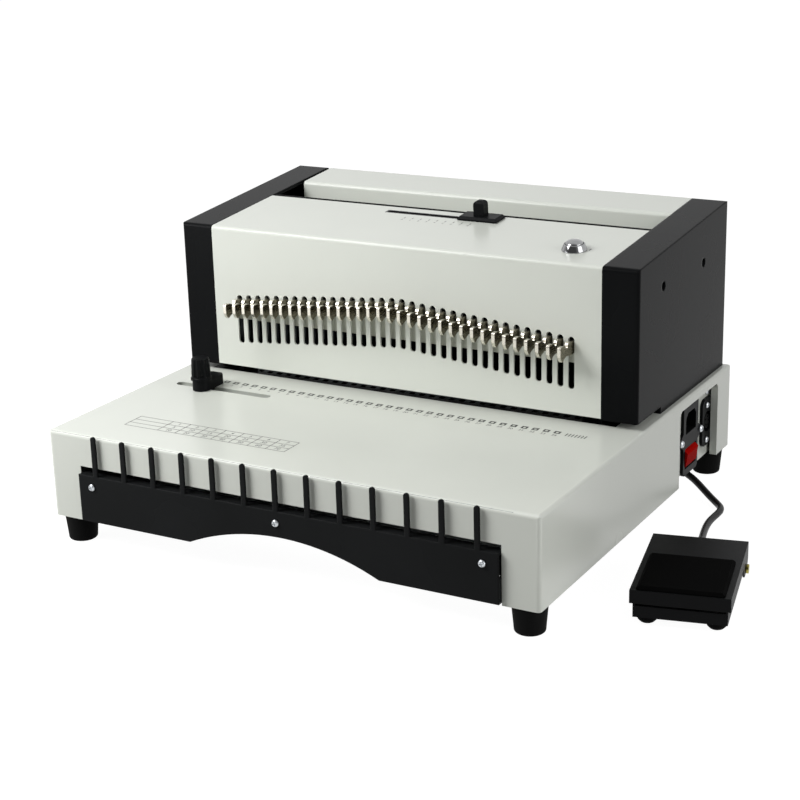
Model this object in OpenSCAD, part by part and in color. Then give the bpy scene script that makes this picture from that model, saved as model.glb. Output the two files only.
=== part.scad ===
// Electric wire binding punch with its foot pedal, built as separate sub-parts.
// Millimetres, +X to the right of the machine, +Y to its back, +Z up, the table at z = 0.

/* [Base] */
// Width of the base shell
base_w = 390; // [350:1:440]
// Depth of the base shell, front wall to rear wall
base_d = 350; // [310:1:390]
// Height of the base shell above the feet
base_h = 66; // [62:1:80]
// Height of the rubber feet
foot_h = 20; // [14:0.5:26]
// Sheet thickness of shell and covers
sheet = 1.5; // [1:0.1:2]
// Outer radius of the sheet folds
fold_r = 3; // [2.2:0.1:4]
// Foot radius at the sole
foot_r = 10.5; // [8:0.5:11]
// Foot radius at the top
foot_top_r = 12.3; // [10:0.1:12.8]
// Width of the white posts beside the front opening
post_w = 27; // [22:0.5:34]
// Height of the white strip above the front opening
strip_h = 24; // [20:0.5:27]

/* [Wire rack] */
// Finger pitch of the wire rack
finger_pitch = 25.4; // [24:0.1:26]
// Finger width
finger_w = 4; // [3:0.1:6]
// Gap between the wall and the back of the rack sheet
rack_gap = 2; // [1:0.1:4]
// Half width of the arch in the lower edge of the rack sheet
arch_half = 76; // [50:1:90]
// Rise of the arch
arch_rise = 16.6; // [8:0.1:18]

/* [Head] */
// Width of the head between the outsides of the end caps
head_w = 380; // [378:1:388]
// Width of one end cap
cap_w = 27.5; // [25:0.5:28]
// Distance of the head's rear from the base's rear
head_back = 3.5; // [2:0.5:10]
// Height of the head's front top edge above the base top
head_h = 116.3; // [104:0.1:132]
// Angle of the head's top, rising to the back
top_tilt = 4.4; // [3:0.1:6]
// Depth of the head
head_d = 176.5; // [174:0.5:176.5]
// Depth of the front cover's top
cover_d = 88.5; // [86:0.5:90]
// Width of the open trough behind the front cover
trough_w = 41.5; // [38:0.5:46]
// Paper throat between base top and stripper plate
throat = 6.5; // [5:0.1:8]

/* [Slots and tabs] */
// Hole pitch, three to the inch
pitch = 8.4667; // [8:0.0001:8.5]
// Slot width
slot_w = 4.9; // [4.3:0.1:5]
// Slot length
slot_l = 38.5; // [38:0.1:42]
// Top of the middle slots above the base top
slot_top = 76.6; // [76:0.1:80]
// Slope of each leg of the chevron of slots
chevron = 0.093; // [0.05:0.001:0.1]
// Thickness of a pull tab
tab_t = 2.8; // [2.4:0.1:3.6]
// Height of a tab's neck
neck_h = 8; // [6:0.1:8.5]
// Reach of a tab in front of the cover
tab_l = 21; // [18:0.1:23]

/* [Punch] */
// Side of a square punch pin
pin_s = 4; // [3:0.1:4.2]
// Distance of the pin line behind the head's front
pin_y = 12; // [11:0.1:13]
// Stroke of the press beam
stroke = 24; // [20:0.5:25]
// Running clearance of pins in die and stripper, each side
pin_fit = 0.15; // [0.1:0.01:0.3]
// Shaft radius
shaft_r = 8; // [6:0.1:10]
// Radial running clearance of shafts
run_fit = 0.06; // [0.03:0.01:0.1]
// Crank pin radius
crank_r = 6; // [5:0.1:7]

/* [Controls] */
// Place of the punch button from the middle
button_x = 129; // [110:1:140]
// Radius of the button's bezel
bezel_r = 9.3; // [8.8:0.1:10.4]
// Travel of the punch button
button_travel = 2; // [1:0.1:2.5]
// Travel of the margin slider
margin_travel = 60; // [40:1:64]
// Shift of the margin stop over the whole slider travel
margin_shift = 4; // [2:0.1:5]
// Rest place of the edge guide from the middle
guide_x = -146.7; // [-150:0.1:-142]
// Width of the edge guide
guide_w = 14; // [12:0.5:16]

/* [Connectors] */
// Depth of the connector recess in the right side
recess = 8.3; // [8:0.1:9]
// Width of the side cut-out
cut_w = 80; // [78:0.5:84]
// Distance of the side cut-out from the base's rear
cut_back = 28.5; // [27:0.5:32]

/* [Pedal] */
// Width of the pedal's tread
ped_w = 65; // [60:0.5:70]
// Depth of the pedal's tread
ped_d = 97; // [94:0.5:104]
// Height of the tread's top
ped_h = 26; // [26:0.5:30]
// Pedal centre to the right of the machine's middle
ped_x = 257.4; // [254:0.1:300]
// Pedal centre behind the machine's front
ped_y = 99.8; // [60:0.1:110]
// Turn of the pedal on the table
ped_yaw = 12.6; // [0:0.1:14]
// Radius of the cord
cord_r = 2.6; // [2:0.1:2.8]

/* [Hidden] */
$fn = 48;

n_slots = 34;
zb = foot_h;
zt = foot_h + base_h;
bx2 = base_w / 2;
hx2 = head_w / 2;
hw = hx2 - cap_w;
hy2 = base_d - head_back;
hy = hy2 - head_d;
slope = tan(top_tilt);
zf = zt + head_h;
cov_y = hy + cover_d;
rear_y = cov_y + trough_w;
wall_y = cov_y + 1.2;
zhb = zt + throat;
open_x = bx2 - post_w;
n_fingers = 2 * floor((open_x - 8) / finger_pitch) + 1;
cut_y1 = base_d - cut_back;
cut_y0 = cut_y1 - cut_w;
open_z = zt - strip_h;
py = hy + pin_y;
beam_y0 = hy + 4;
beam_y1 = hy + 20;
beam_z0 = zt + 43.6;
beam_z1 = zt + 82;
strip_z1 = zhb + 8;
die_z0 = zt - 12;
shaft_y = hy + 46;
yoke_z = zt + 74;
crank_e = stroke / 2;
shaft_z = yoke_z - crank_e;
yoke_gap = crank_r + 0.106 * stroke + 0.3;
neck_dz = 8.5;
tab_fit = 0.25;
guide_y = hy - 46.8;
groove_y = hy - 40.5;
groove_x0 = guide_x - 27.3;
groove_x1 = guide_x + 57.7;
conn_x = bx2 - recess;
rim_x = conn_x + 2.8;
inl_y = cut_y0 + 38.5;
inl_z = zb + 27.8;
soc_y = cut_y1 - 5.5;
soc_z = zb + 28.7;
soc_sy = soc_y - 3;
earth_y = soc_y + 2.5;
earth_z = soc_z + 23;
slot_tx = (n_slots - 1) / 2;
row_x = slot_tx * pitch;
plate_x = hw - 0.5;
plate_in = hw - 6.5;
beam_x = row_x + 14.3;
win_x = hw - 2.5;
col_x = row_x + 8.3;
stop_x = row_x + 0.3;
bear_x = 80;
crank_x = 99.5;
frame_z1 = zt + head_h - 6.3;
cam_z0 = zt + head_h - 3.5;
rack_sx = open_x - 12;
rack_top = open_z - 5;
rail_fit = 1.5;
rail_h = 14;
rail_z1 = rack_top - sheet - rail_fit;
rack_sz = rail_z1 - 5.5;
bore_s = pin_s + 2 * pin_fit;
slide_x0 = 31.2;
slide_y = hy + 75;
hinge_y = 35.5;
hinge_z = 11.5;
gland_z = 12.6;
gl_x = conn_x - 9.7;
gl_y = inl_y + 12;
gl_z = zb - 5.4;
gl_turn = -32;
cord_pts = [[177, 292, 14.6], [181.2, 289.4, 14.5], [186, 286.4, 13.7], [191.5, 283, 12.3],
  [197, 279.4, 10.3], [202.5, 275.8, 7.9], [208, 272.2, 5.5], [213, 268.6, 3.8], [217.5, 264.6, 2.9],
  [221, 260, 2.7], [222.9, 254.5, 2.7], [223.3, 248, 2.7], [223.1, 240, 2.7], [223.2, 231, 2.7],
  [224.4, 221, 2.7], [226.4, 211, 2.8], [228.9, 201, 3.2], [231.6, 191, 4.2], [234.3, 182, 5.9],
  [237.1, 173.5, 8.2], [240, 166, 10.5], [243.1, 158, 12.2], [246.2, 150.1, 12.6]];
n_pts = len(cord_pts) - 1;
rack_y1 = -rack_gap;
rack_y0 = rack_y1 - sheet;
yw = ped_yaw;
ped_right = ped_x + ped_w / 2 * cos(yw) + ped_d / 2 * sin(yw);
org_x = (ped_right - bx2) / 2;
org_y = (base_d + rack_y0 - 1.6) / 2;

cord_d0 = [gl_x, gl_y, gl_z] - cord_pts[0];
cord_end = [ped_x - (ped_d / 2 + 3) * sin(yw), ped_y + (ped_d / 2 + 3) * cos(yw), gland_z];
cord_d1 = cord_end - cord_pts[n_pts];

function ztop(y) = zf + slope * (y - hy);
function slot_x(i) = (i - slot_tx) * pitch;
function slot_z(i) = zt + slot_top - chevron * abs(i - slot_tx) * pitch;
function neck_z(i) = slot_z(i) - neck_dz;
function pin_tip(i) = zhb + 1 + 0.42 * (slot_z(i) - slot_z(0));
function arc(c, r, a0, a1) = [for (k = [0:6])
  let (a = a0 + (a1 - a0) * k / 6) c + r * [cos(a), sin(a)]];

module mach() { translate([-org_x, -org_y, 0]) children(); }
module ped() { translate([ped_x - org_x, ped_y - org_y, 0]) rotate([0, 0, ped_yaw]) children(); }
module bx(x0, x1, y0, y1, z0, z1) { translate([x0, y0, z0]) cube([x1 - x0, y1 - y0, z1 - z0]); }
module ex(x0, x1) { translate([x0, 0, 0]) rotate([90, 0, 90]) linear_extrude(x1 - x0) children(); }
module ey(y0, y1) { translate([0, y1, 0]) rotate([90, 0, 0]) linear_extrude(y1 - y0) children(); }
module ez(z0, z1) { translate([0, 0, z0]) linear_extrude(z1 - z0) children(); }
module cx(x0, x1, y, z, r) { translate([x0, y, z]) rotate([0, 90, 0]) cylinder(h = x1 - x0, r = r); }
module cy(y0, y1, x, z, r) { translate([x, y1, z]) rotate([90, 0, 0]) cylinder(h = y1 - y0, r = r); }
module cz(z0, z1, x, y, r) { translate([x, y, z0]) cylinder(h = z1 - z0, r = r); }
// The same block on both sides of the middle, and a square post
module bxs(x0, x1, y0, y1, z0, z1) {
  bx(x0, x1, y0, y1, z0, z1);
  bx(-x1, -x0, y0, y1, z0, z1);
}
module sqz(z0, z1, x, y, s) { bx(x - s / 2, x + s / 2, y - s / 2, y + s / 2, z0, z1); }
// On the sloped top of the head, at x and y, with local z along its normal
module on_top(x, y) { translate([x, y, ztop(y)]) rotate([top_tilt, 0, 0]) children(); }

// Flat outlines
module rr(w, h, r) {
  square([w - 2 * r, h], center = true);
  square([w, h - 2 * r], center = true);
  for (sx = [-1, 1], sy = [-1, 1]) translate([sx * (w / 2 - r), sy * (h / 2 - r)]) circle(r);
}
module top_rr(w, h, r) {
  translate([-w / 2, 0]) square([w, h - r]);
  translate([-w / 2 + r, 0]) square([w - 2 * r, h]);
  for (s = [-1, 1]) translate([s * (w / 2 - r), h - r]) circle(r);
}
module pill(x0, x1, y, w) {
  translate([x0 + w / 2, y - w / 2]) square([x1 - x0 - w, w]);
  translate([x0 + w / 2, y]) circle(w / 2);
  translate([x1 - w / 2, y]) circle(w / 2);
}
// Side outline under the sloped top from y0 to y1, front and rear top corners rounded by r, inset by o
module roof(y0, y1, z0, r, o, rear_r) {
  t = top_tilt;
  a = y0 + o;
  b = y1 - o;
  zo = -o / cos(t);
  q = r - o;
  qr = rear_r - o;
  ca = ztop(y0) + zo + slope * (a - y0 + q) - q / cos(t);
  cb = ztop(y0) + zo + slope * (b - y0 - qr) - qr / cos(t);
  front = arc([a + q, ca], q, 180, 90 + t);
  rear = arc([b - qr, cb], qr, 90 + t, 0);
  polygon(concat([[a, z0]], front, rear, [[b, z0]]));
}

module shell_body(o) {
  intersection() {
    ex(-bx2 + o, bx2 - o) translate([base_d / 2, zb]) top_rr(base_d - 2 * o, base_h - o, fold_r - o);
    ey(o, base_d - o) translate([0, zb]) top_rr(base_w - 2 * o, base_h - o, fold_r - o);
    ez(zb, zt) translate([0, base_d / 2]) rr(base_w - 2 * o, base_d - 2 * o, fold_r - o);
  }
}
module cut_outline(o) {
  w = cut_y1 - cut_y0 + 2 * o;
  translate([(cut_y0 + cut_y1) / 2, zb - 1]) top_rr(w, base_h - 6 + o, 5 + o);
}
module base_shell() {
  color("#D9DBD5") mach() {
    difference() {
      union() {
        difference() {
          shell_body(0);
          shell_body(sheet);
        }
        // flanges along the bottom, where feet and floor plate are fixed
        bxs(bx2 - 27, bx2 - 1, 1, base_d - 1, zb, zb + sheet);
        bx(-bx2 + 20, bx2 - 20, base_d - 24, base_d - 1, zb, zb + sheet);
        // folded-in rim of the side cut-out
        intersection() {
          difference() {
            ex(rim_x, bx2 - 0.2) cut_outline(sheet);
            ex(rim_x - 1, bx2 + 1) cut_outline(0);
          }
          bx(rim_x, bx2, cut_y0 - 10, cut_y1 + 10, zb, zt - 1);
        }
        // pan below the groove of the edge guide
        bx(groove_x0 - 2, groove_x1 + 2, groove_y - 6, groove_y + 6, zt - 3.8, zt - sheet + 0.1);
      }
      // front opening
      bx(-open_x, open_x, -1, sheet + 1, zb - 1, open_z);
      // side cut-out, with the flange cleared below it
      ex(rim_x - 0.1, bx2 + 1) cut_outline(0);
      bx(bx2 - 30, rim_x + 0.01, cut_y0 - 8, cut_y1 + 15, zb - 1, zb + sheet + 1);
      // die window in the top
      bx(-win_x, win_x, hy + 2, hy + 30.5, zt - 5, zt + 1);
      // groove of the edge guide
      ez(zt - 2.5, zt + 1) pill(groove_x0, groove_x1, groove_y, 8);
      // chip drawer opening in the left side
      bx(-bx2 - 1, -bx2 + sheet + 1, hy - 3, hy + 37, zb + 3, zb + 45);
    }
  }
}
module base_plate() {
  color("#B9BCB8") mach() {
    bx(-bx2 + 9, conn_x - 6, 60, base_d - 4, zb + sheet, zb + 2 * sheet);
    // side rails of the chip drawer
    for (y = [hy - 3.4, hy + 35.5]) bx(-bx2 + 12, col_x + 4, y, y + sheet, zb + sheet, zb + 16);
  }
}
module rack_rail() {
  color("#232425") mach() difference() {
    union() {
      bx(-open_x - 12, open_x + 12, sheet, 2 * sheet, rail_z1 - rail_h, rail_z1);
      for (x = [-rack_sx, 0, rack_sx]) cy(rack_y1, sheet + 0.2, x, rack_sz, 5);
    }
    for (x = [-rack_sx, 0, rack_sx]) cy(rack_y0 - 1, 10, x, rack_sz, 1.4);
  }
}
module wire_rack() {
  top = rack_top;
  px = open_x - 0.4;
  rise = arch_rise;
  low = zb + 1.6;
  ar = (arch_half * arch_half + rise * rise) / 2 / rise;
  color("#1C1D1E") mach() difference() {
    union() {
      ey(rack_y0, rack_y1) difference() {
        union() {
          translate([-px, low]) square([2 * px, top - low]);
          for (i = [0:n_fingers - 1]) {
            x = (i - (n_fingers - 1) / 2) * finger_pitch;
            tip = zt + 1 - finger_w / 2;
            translate([x - finger_w / 2, top - 2]) square([finger_w, tip - top + 2]);
            translate([x, tip]) circle(finger_w / 2);
          }
        }
        translate([3.5, low + rise - ar]) circle(ar, $fn = 96);
      }
      // ledge folded back below the strip
      bx(-px, px, rack_y1 - 0.2, rack_y1 + 8, top - sheet, top);
      // end flanges below the rail
      bxs(px - sheet, px, rack_y1 - 0.2, rack_y1 + 8, low, rail_z1 - rail_h - 0.15);
    }
    for (x = [-rack_sx, 0, rack_sx]) cy(rack_y0 - 1, 10, x, rack_sz, 1.7);
  }
}
module feet() {
  half = [[0, 0], [foot_r - 1, 0], [foot_r, 1], [foot_top_r, foot_h], [0, foot_h]];
  color("#1A1A1A") mach()
    for (x = [-bx2 + 13.4, bx2 - 13.4], y = [13, base_d - 13])
      translate([x, y, 0]) rotate_extrude() polygon(half);
}
// Pan head screw with a cross recess, head seated at the origin and pointing up
module pan(r, l) {
  difference() {
    union() {
      rotate_extrude() polygon([[0, 0], [r, 0], [r, r * 0.35], [r * 0.72, r * 0.68], [0, r * 0.74]]);
      translate([0, 0, -l]) cylinder(h = l + 0.1, r = r * 0.5);
    }
    for (a = [0, 90]) rotate([0, 0, a])
      translate([-r * 0.6, -r * 0.12, r * 0.4]) cube([r * 1.2, r * 0.24, r]);
  }
}
module screws() {
  color("#D2D4D6") mach() {
    for (x = [-rack_sx, 0, rack_sx])
      translate([x, rack_y0, rack_sz]) rotate([90, 0, 0]) rotate([0, 0, 20]) pan(2.6, 4.5);
    for (s = [-1, 1]) {
      translate([conn_x + 2.5, inl_y + s * 20, inl_z]) rotate([0, 90, 0]) pan(2.8, 5);
      translate([conn_x + 2.5, soc_sy, soc_z + s * 14]) rotate([0, 90, 0]) pan(2.4, 5);
    }
    translate([conn_x, earth_y, earth_z]) rotate([0, 90, 0]) pan(2.4, 4);
  }
}
module connector_panel() {
  color("#CFD1CC") mach() difference() {
    union() {
      bx(conn_x - sheet, conn_x, cut_y0 - 6, cut_y1 + 14, zb + 0.4, zt - sheet);
      // folded-in lip that carries the cord's bush
      bx(conn_x - 24, conn_x - sheet + 0.1, cut_y0 - 6, cut_y1 - 16, zb + 0.4, zb + sheet);
    }
    bx(conn_x - 5, conn_x + 1, inl_y - 14, inl_y + 14, inl_z - 24, inl_z + 24);
    cx(conn_x - 5, conn_x + 1, soc_y, soc_z, 10.2);
    for (s = [-1, 1]) cx(conn_x - 5, conn_x + 1, inl_y + s * 20, inl_z, 1.5);
    for (s = [-1, 1]) cx(conn_x - 5, conn_x + 1, soc_sy, soc_z + s * 14, 1.3);
    cx(conn_x - 5, conn_x + 1, earth_y, earth_z, 1.3);
  }
}
module power_inlet() {
  fl = conn_x + 2.5;
  color("#17181A") mach() difference() {
    union() {
      ex(conn_x, fl) {
        translate([inl_y, inl_z]) rr(30.5, 57, 4);
        // ears of the fixing screws
        for (s = [-1, 1]) translate([inl_y, inl_z]) {
          polygon([[s * 14, -7], [s * 20.5, -3], [s * 20.5, 3], [s * 14, 7]]);
          translate([s * 20, 0]) circle(3.4);
        }
      }
      bx(conn_x - 26, conn_x + 0.2, inl_y - 13.8, inl_y + 13.8, inl_z - 23.8, inl_z + 23.8);
    }
    // socket shroud for the appliance plug
    ex(conn_x - 20, fl + 1) translate([inl_y, inl_z + 12.5])
      polygon([[-10.4, -8], [10.4, -8], [10.4, 4], [6.4, 8], [-6.4, 8], [-10.4, 4]]);
    // well of the rocker
    bx(conn_x - 10, fl + 1, inl_y - 11.5, inl_y + 11.5, inl_z - 23, inl_z - 7);
    // bearings of the rocker
    cy(inl_y - 12.4, inl_y + 12.4, conn_x - 1.5, inl_z - 15, 1.5 + run_fit);
    for (s = [-1, 1]) cx(conn_x - 5, fl + 1, inl_y + s * 20, inl_z, 1.5);
  }
  // contact blades
  color("#17181A") mach() for (y = [-7, 0, 7]) {
    z = inl_z + (y == 0 ? 14.5 : 10.5);
    bx(conn_x - 20.2, conn_x - 4, inl_y + y - 1, inl_y + y + 1, z - 2, z + 2);
  }
}
module rocker_switch() {
  color("#C21B17") mach() translate([conn_x - 1.5, inl_y, inl_z - 15]) {
    ey(-11.2, 11.2) intersection() {
      circle(7.6);
      translate([-2, -7]) square([12, 14]);
      translate([-2, 0]) rotate(-9) translate([0, -9]) square([7.4, 20]);
    }
    cy(-12.3, 12.3, 0, 0, 1.5);
  }
}
module pedal_socket() {
  fl = conn_x + 2.5;
  color("#1B1C1E") mach() difference() {
    union() {
      ex(conn_x, fl) translate([soc_y, soc_z]) rr(22, 38, 6);
      cx(conn_x - 14, conn_x + 0.2, soc_y, soc_z, 10);
    }
    difference() {
      cx(conn_x - 11, fl + 4, soc_y, soc_z, 8.2);
      cx(conn_x - 12, fl - 0.6, soc_y, soc_z, 5.6);
    }
    for (a = [0:72:359])
      cx(conn_x - 6, fl + 4, soc_y + 3.4 * cos(a), soc_z + 3.4 * sin(a), 0.9);
    for (s = [-1, 1]) cx(conn_x - 5, fl + 1, soc_sy, soc_z + s * 14, 1.3);
  }
}

// Row of slots as a flat outline in x and z
module slot_row() {
  r = slot_w / 2;
  for (i = [0:n_slots - 1]) translate([slot_x(i), slot_z(i)]) {
    translate([-r, r - slot_l]) square([slot_w, slot_l - slot_w]);
    translate([0, -r]) circle(r, $fn = 24);
    translate([0, r - slot_l]) circle(r, $fn = 24);
  }
}
module head_cover() {
  w = hw;
  color("#DBDDD7") mach() difference() {
    ex(-w, w) difference() {
      roof(hy, cov_y, zhb - 0.3, fold_r, 0, sheet + 0.5);
      roof(hy, cov_y, zhb - 2, fold_r, sheet, sheet + 0.5);
      translate([cov_y - sheet - 1, zhb - 3]) square([5, ztop(cov_y) - 12 - zhb + 3]);
    }
    ey(hy - 1, hy + sheet + 1) slot_row();
    // hole of the punch button
    on_top(button_x, hy + 29) translate([0, 0, -6]) cylinder(h = 9, r = 8.1);
    // slot of the margin slider
    on_top(0, slide_y) ez(-6, 3) pill(slide_x0 - margin_travel - 19.5, slide_x0 + 8, 0, 4);
  }
}
module rear_cover() {
  w = hw;
  fz = zt + 64;
  color("#D6D8D2") mach() {
    ex(-w + 3, w - 0.3) difference() {
      roof(rear_y, hy2 - 0.3, zt, fold_r, 0, fold_r);
      roof(rear_y, hy2 - 0.3, zt - 1, fold_r, sheet, fold_r);
      translate([rear_y - 1, zt - 1]) square([sheet + 2, fz - zt + 1.5]);
    }
    // floor and front wall of the trough
    bx(-w, w, cov_y, rear_y + sheet * 0.6, fz, fz + sheet);
    bx(-w, w, wall_y, wall_y + sheet, fz + sheet / 2, ztop(cov_y) - 3);
  }
}
// rubber edging on the front wall of the trough
module trough_trim() {
  top = ztop(cov_y);
  color("#161616") mach() difference() {
    bx(-hw + 0.3, hw - 0.3, wall_y - 0.8, wall_y + sheet + 0.8, top - 9, top - 0.1);
    bx(-hw, hw, wall_y, wall_y + sheet, top - 10, top - 3);
  }
}
module cap_side(o) {
  difference() {
    roof(hy, hy2, zt, 3.5, o, 3.5);
    // open side of the paper throat
    translate([hy - 1, zt - 1]) square([45.3 + o, 6.2 + o]);
    translate([hy + 20, zt - 1]) square([300, 1 + o]);
  }
}
module end_cap(s) {
  color("#1E1F20") mach() mirror([s > 0 ? 0 : 1, 0, 0]) difference() {
    intersection() {
      ex(hw, hx2) cap_side(0);
      ez(zt - 1, zf + 60) translate([hx2 - (cap_w + 5) / 2, (hy + hy2) / 2])
        rr(cap_w + 5, head_d, 2.6);
    }
    ex(hw - 1, hx2 - 2.5) cap_side(2.5);
    for (p = [[45.5, 94.5], [125.5, 93]]) cx(hx2 - 4, hx2 + 1, hy + p[0], zt + p[1], 3.4);
  }
}
module end_cap_left() { end_cap(-1); }
module end_cap_right() { end_cap(1); }

module punch_frame() {
  color("#8F9498") mach() difference() {
    union() {
      // side plates, cross bar, bearing plates and rear tie bar
      bxs(plate_in, plate_x, hy + 31, cov_y - 4, zt, frame_z1);
      bxs(plate_in, plate_x, hy + 4, hy + 32, zt + 6, frame_z1);
      bx(-plate_in - 1, plate_in + 1, hy + 6, hy + 20, frame_z1 - 10, frame_z1);
      bxs(bear_x, bear_x + 10, hy + 32, cov_y - 4, zt, shaft_z + 30);
      bx(-plate_in - 1, plate_in + 1, cov_y - 12, cov_y - 4, zt, zt + 20);
    }
    cx(-bear_x - 15, bear_x + 15, shaft_y, shaft_z, shaft_r + run_fit);
    for (s = [-1, 1]) cz(frame_z1 - 20, frame_z1 + 2, s * col_x, py, 4);
    // passage of the motor and of the margin stop's riser
    bx(-38, 64, cov_y - 20, cov_y, zt - 1, zt + 30);
  }
}
module guide_columns() {
  color("#C9CDD0") mach() for (s = [-1, 1]) cz(strip_z1, frame_z1, s * col_x, py, 4);
}
module die_plate() {
  color("#6E7377") mach() difference() {
    union() {
      bx(-plate_x, plate_x, hy + 1, hy + 34, die_z0, zt - sheet);
      bx(-win_x + 0.3, win_x - 0.3, hy + 2.3, hy + 30.2, die_z0, zt);
    }
    for (i = [0:n_slots - 1]) sqz(die_z0 - 1, zt + 1, slot_x(i), py, bore_s);
  }
}
module stripper_plate() {
  color("#7A7F83") mach() difference() {
    union() {
      bx(-plate_in, plate_in, hy + 2, hy + 28, zhb, strip_z1);
      // spacer feet at both ends
      bxs(plate_in - 4, plate_in, hy + 18, hy + 30.5, zt, strip_z1);
    }
    for (i = [0:n_slots - 1]) sqz(zhb - 1, strip_z1 + 1, slot_x(i), py, bore_s);
  }
}
module press_beam() {
  w = tab_t / 2 + tab_fit;
  h = neck_h / 2 + tab_fit;
  color("#D3D5CE") mach() difference() {
    bx(-beam_x, beam_x, beam_y0, beam_y1, beam_z0, beam_z1);
    for (i = [0:n_slots - 1]) {
      // pocket of the tab, and the square bore of its pin below
      translate([slot_x(i), 0, neck_z(i)]) bx(-w, w, beam_y0 - 1, beam_y0 + 13, -h, h);
      sqz(beam_z0 - 1, neck_z(i), slot_x(i), py, pin_s);
      // relief above the tab, where the slot shows dark
      translate([slot_x(i), 0, neck_z(i)])
        bx(-slot_w / 2 - 0.4, slot_w / 2 + 0.4, beam_y0 - 1, beam_y0 + 11, h - 0.1, neck_dz + 1.5);
    }
    for (s = [-1, 1]) cz(beam_z0 - 1, beam_z1 + 1, s * col_x, py, 4 + run_fit);
  }
}
module yokes() {
  sw = crank_e + crank_r + 1;
  h = yoke_gap + 8;
  color("#9DA2A6") mach() difference() {
    bxs(crank_x + 1, crank_x + 11, beam_y1, shaft_y + sw + 8, yoke_z - h, yoke_z + h);
    bxs(crank_x - 1, crank_x + 13, shaft_y - sw, shaft_y + sw, yoke_z - yoke_gap, yoke_z + yoke_gap);
  }
}
module punch_pins() {
  color("#B8BDC1") mach() for (i = [0:n_slots - 1])
    sqz(pin_tip(i), neck_z(i) - neck_h / 2 - tab_fit, slot_x(i), py, pin_s);
}
module drive_shaft() {
  color("#A7ACB0") mach() {
    cx(-bear_x - 12, bear_x + 12, shaft_y, shaft_z, shaft_r);
    for (s = [0, 1]) mirror([s, 0, 0]) {
      cx(bear_x + 11, crank_x, shaft_y, shaft_z, crank_e + crank_r + 2);
      cx(crank_x - 0.5, crank_x + 12.5, shaft_y, shaft_z + crank_e, crank_r);
    }
  }
}
module gear_motor() {
  // gear box around the shaft, its flange, the motor and the motor's cradle
  gear_x = 3.75 * shaft_r;
  gear_y = 2.25 * shaft_r;
  flange_y = shaft_y + gear_y + 10;
  motor_r = 25;
  color("#3A3D40") mach() difference() {
    union() {
      bx(-gear_x, gear_x, shaft_y - 14, shaft_y + gear_y + 4, zt, shaft_z + 22);
      bx(-gear_x - 6, gear_x + 6, shaft_y + gear_y + 4, flange_y, zt, shaft_z + 10);
      cy(flange_y, hy2 - 12, 0, zt + motor_r + 9, motor_r);
      bx(-motor_r + 3, motor_r - 3, flange_y + 16, hy2 - 16, zt, zt + 16);
    }
    cx(-gear_x - 10, gear_x + 10, shaft_y, shaft_z, shaft_r + run_fit);
  }
}
module control_board() {
  color("#2F5D43") mach() {
    bx(72, 150, rear_y - 30, hy2 - 10, zt + 8, zt + 9.6);
    for (x = [76, 146], y = [rear_y - 26, hy2 - 14]) cz(zt, zt + 8.2, x, y, 2.5);
    bx(80, 112, rear_y - 24, rear_y + 4, zt + 9.4, zt + 34);
    bx(120, 140, rear_y - 24, rear_y - 8, zt + 9.4, zt + 25);
    for (x = [122, 134]) cz(zt + 9.4, zt + 28, x, rear_y + 8, 5);
    bx(84, 140, hy2 - 22, hy2 - 13, zt + 9.4, zt + 20);
  }
}
module chip_drawer() {
  y0 = hy - 1.6;
  y1 = hy + 35.2;
  z0 = zb + 2 * sheet + 0.3;
  z1 = zb + 44;
  color("#C4C7C3") mach() difference() {
    union() {
      bx(-bx2 + sheet, col_x, y0, y1, z0, z1);
      bx(-bx2, -bx2 + sheet + 0.1, hy - 2.5, hy + 36.5, zb + 3.5, zb + 44.5);
    }
    bx(-bx2 + sheet + 1.5, col_x - 1.5, y0 + 1.5, y1 - 1.5, z0 + 1.5, z1 + 1);
    // finger scoop
    cx(-bx2 - 1, -bx2 + sheet + 3, hy + 17, zb + 46, 12);
  }
}
module edge_guide() {
  r = guide_w / 2;
  y1 = groove_y + 15;
  x0 = guide_x - r;
  x1 = guide_x + r;
  z1 = zt + 8;
  color("#18191A") mach() difference() {
    union() {
      // bar with a round front end
      bx(x0, x1, guide_y, y1, zt + 0.3, z1);
      cz(zt + 0.3, z1, guide_x, guide_y, r);
      // tongue in the groove
      bx(guide_x - 5, guide_x + 5, groove_y - 3.6, groove_y + 3.6, zt - 2.1, zt + 1);
    }
    // rear corners
    for (x = [x0, x1]) translate([x, y1, zt - 1]) rotate([0, 0, 45]) translate([-2, -2, 0])
      cube([4, 4, 20]);
    cz(zt - 1, zt + 12, guide_x, guide_y, 1.6);
  }
}
module edge_knob() {
  z0 = zt + 8.3;
  half = [[0, 0], [8, 0], [8, 1.6], [7.4, 2.4], [6.9, 15.4], [6.5, 16.8], [5.6, 17.2], [0, 17.2]];
  color("#161718") mach() translate([guide_x, guide_y, 0]) difference() {
    union() {
      translate([0, 0, z0]) rotate_extrude() polygon(half);
      // screw that bears on the table top
      cz(zt + 0.3, z0 + 1, 0, 0, 1.3);
    }
    for (a = [0:45:359]) rotate([0, 0, a]) cz(z0 + 3, z0 + 21, 8.4, 0, 2.2);
  }
}
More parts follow.
